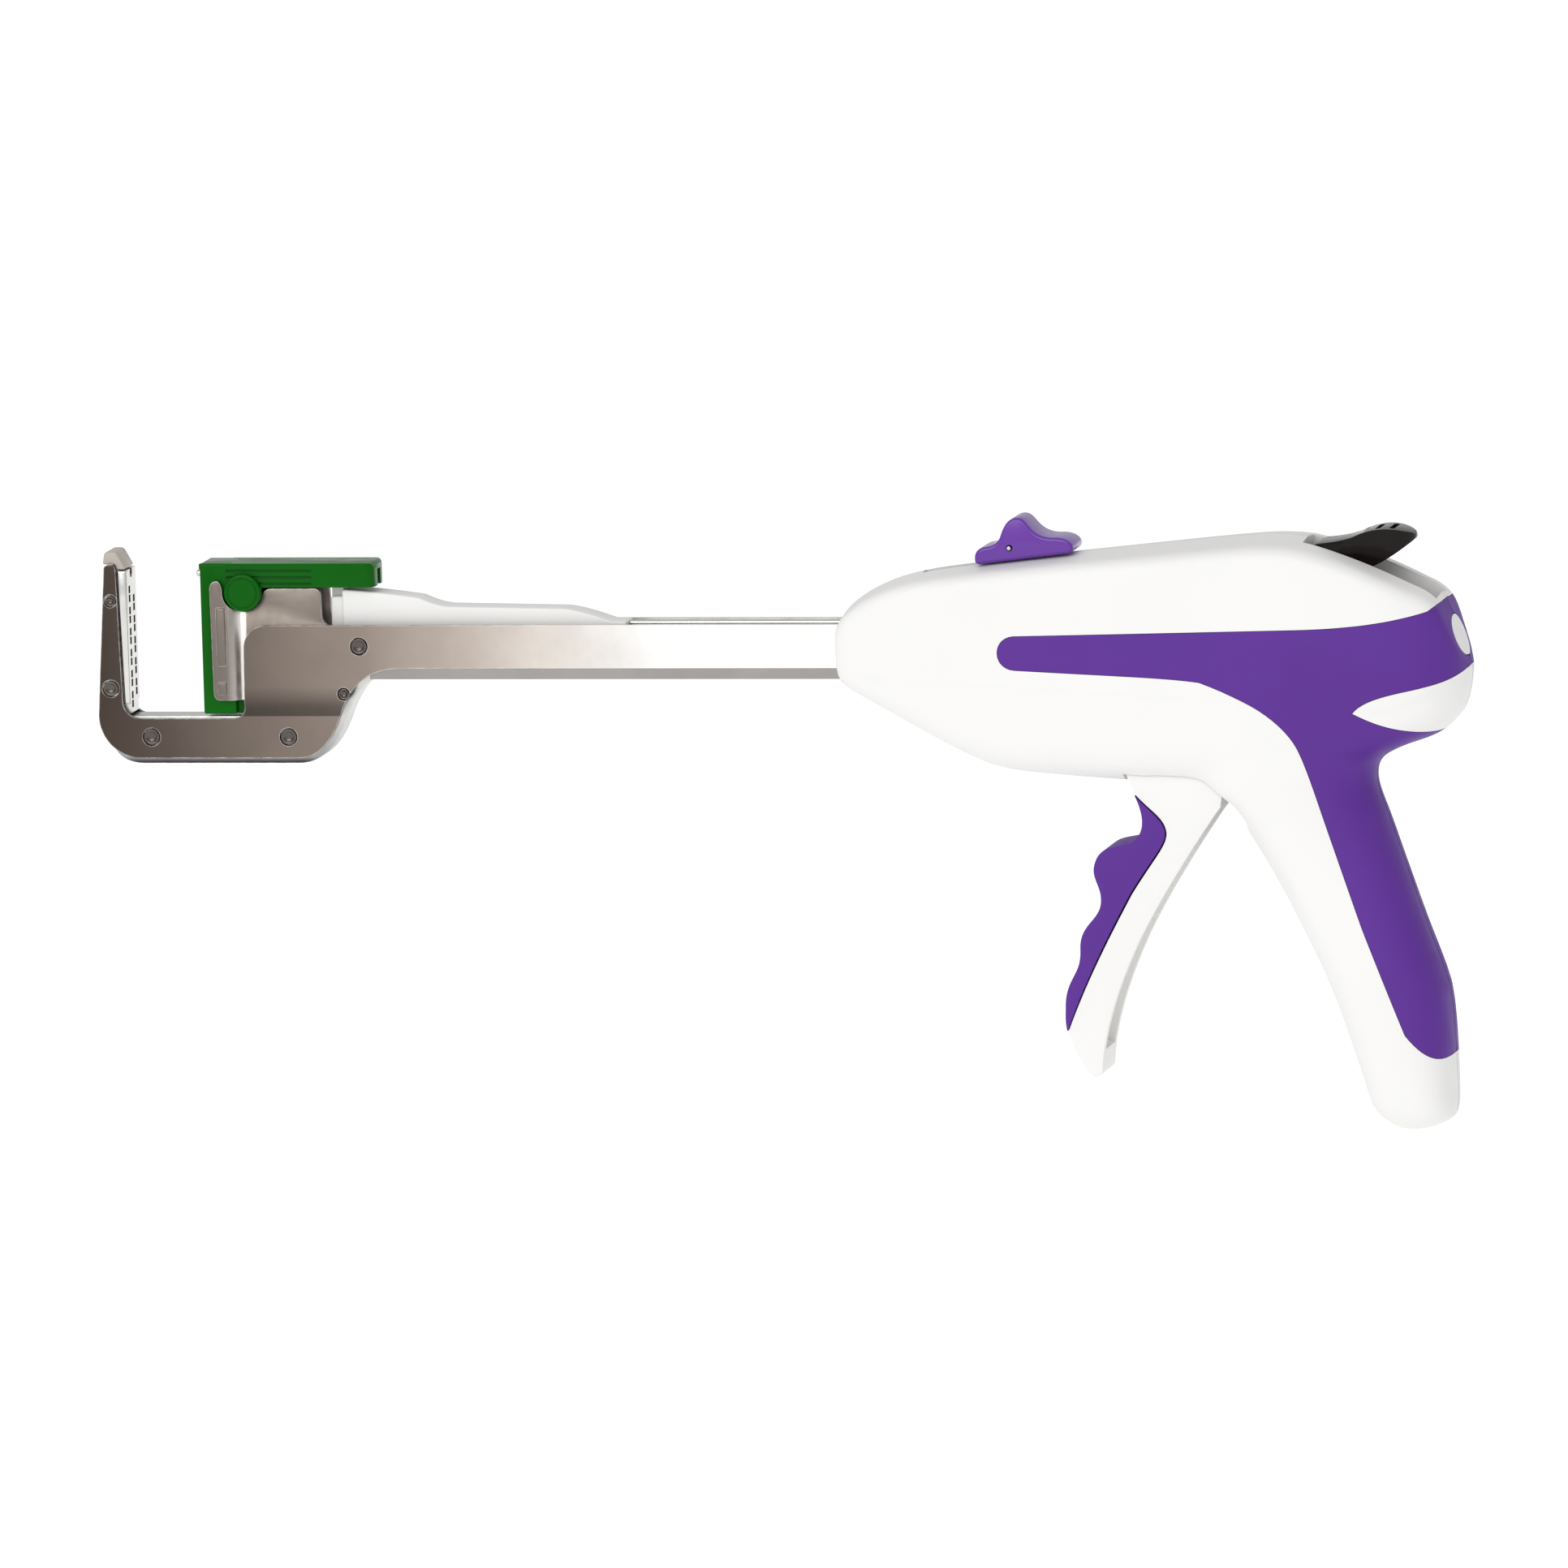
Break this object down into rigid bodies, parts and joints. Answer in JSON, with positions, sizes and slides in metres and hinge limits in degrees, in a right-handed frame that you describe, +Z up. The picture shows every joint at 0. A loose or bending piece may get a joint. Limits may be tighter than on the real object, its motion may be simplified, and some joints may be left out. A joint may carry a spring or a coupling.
{
  "type": "long reach linear stapler",
  "caption": "Hand-held linear stapler with a long flat shaft, L-shaped jaw, sliding cartridge carrier, pistol grip, squeeze trigger, thumb slide and release lever",
  "frame": {"origin": "middle of the hand grip, on the seam between the two shells", "axes": "+X along the shaft from the jaw towards the user's hand, +Y across the body to its right side, +Z up"},
  "size_m": [0.3283, 0.0344, 0.1452],
  "materials": {
    "white_shell": "moulded white shell, fine satin",
    "purple_grip": "matte purple over-moulding",
    "purple_gloss": "glossy purple moulding",
    "green_plastic": "glossy green moulding",
    "pale_plastic": "pale grey moulding",
    "black_plastic": "glossy black sides with a grey satin top",
    "plate_steel": "blasted stainless sheet with bright sheared edges",
    "bright_steel": "bright stainless"
  },
  "bodies": {
    "handle_and_jaw": {"left_shell": "white_shell", "right_shell": "white_shell", "left_grip": "purple_grip", "right_grip": "purple_grip", "rear_inlay": "white_shell", "housing_screw_1": "bright_steel", "housing_screw_2": "bright_steel", "housing_screw_3": "bright_steel", "housing_screw_4": "bright_steel", "left_side_plate": "plate_steel", "right_side_plate": "plate_steel", "jaw_spacer": "pale_plastic", "shaft_channel": "bright_steel", "anvil": "bright_steel", "anvil_cap": "pale_plastic", "anvil_rivet_upper": "bright_steel", "anvil_rivet_lower": "bright_steel", "jaw_rivet_front": "bright_steel", "jaw_rivet_rear": "bright_steel", "shaft_rivet": "bright_steel", "guide_pin": "bright_steel", "trigger_pivot_pin": "bright_steel", "return_spring": "bright_steel", "spring_anchor_pin": "bright_steel", "release_pivot_pin": "bright_steel", "latch_pin": "bright_steel"},
    "trigger_lever": {"trigger": "white_shell", "trigger_grip": "purple_grip", "trigger_drive_pin": "bright_steel"},
    "cartridge_sled": {"cartridge_carrier": "plate_steel", "cartridge": "green_plastic", "closing_bar": "bright_steel", "carrier_pin": "bright_steel"},
    "firing_slide": {"firing_bar": "bright_steel", "staple_driver": "pale_plastic", "staple_01": "bright_steel", "staple_02": "bright_steel", "staple_03": "bright_steel", "staple_04": "bright_steel", "staple_05": "bright_steel", "staple_06": "bright_steel", "staple_07": "bright_steel", "staple_08": "bright_steel", "staple_09": "bright_steel", "staple_10": "bright_steel", "staple_11": "bright_steel"},
    "pin_slide_parts": {"retaining_pin": "bright_steel", "pin_pusher": "white_shell", "pin_rod": "bright_steel"},
    "thumb_button": {"thumb_slide": "purple_gloss", "thumb_slide_pin": "bright_steel"},
    "release_button": {"release_lever": "black_plastic", "release_tongue": "bright_steel"},
    "latch": {"latch_pawl": "bright_steel"}
  },
  "joints": [
    {"name": "trigger_squeeze", "type": "hinge", "parent": "handle_and_jaw", "child": "trigger_lever", "pos_m": [-0.0365, 0, 0.033], "axis": [0, -1, 0], "range_deg": [0, 34.5], "stiffness_Nm_per_rad": 0.15, "springref_deg": -20.05, "deforming": ["return_spring"]},
    {"name": "jaw_close", "type": "slide", "parent": "handle_and_jaw", "child": "cartridge_sled", "axis": [-1, 0, 0], "range_m": [0, 0.016]},
    {"name": "firing", "type": "slide", "parent": "cartridge_sled", "child": "firing_slide", "axis": [-1, 0, 0], "range_m": [0, 0.0042], "deforming": ["staple_01", "staple_02", "staple_03", "staple_04", "staple_05", "staple_06", "staple_07", "staple_08", "staple_09", "staple_10", "staple_11"]},
    {"name": "thumb_push", "type": "slide", "parent": "handle_and_jaw", "child": "thumb_button", "axis": [-0.9939, 0, -0.1103], "range_m": [0, 0.0175]},
    {"name": "pin_advance", "type": "slide", "parent": "handle_and_jaw", "child": "pin_slide_parts", "axis": [-1, 0, 0], "range_m": [0, 0.0174]},
    {"name": "release_press", "type": "hinge", "parent": "handle_and_jaw", "child": "release_button", "pos_m": [-0.0055, 0, 0.0806], "axis": [0, 1, 0], "range_deg": [0, 14], "stiffness_Nm_per_rad": 0.02, "springref_deg": -17.19},
    {"name": "latch_lift", "type": "hinge", "parent": "handle_and_jaw", "child": "latch", "pos_m": [-0.016, 0, 0.072], "axis": [0, 1, 0], "range_deg": [0, 7]}
  ],
  "couplings": [
    {"joint": "trigger_squeeze", "follows": "jaw_close", "rad_per_m": 37.634},
    {"joint": "pin_advance", "follows": "thumb_push", "ratio": 0.9939},
    {"joint": "latch_lift", "follows": "release_press", "ratio": 0.5}
  ]
}
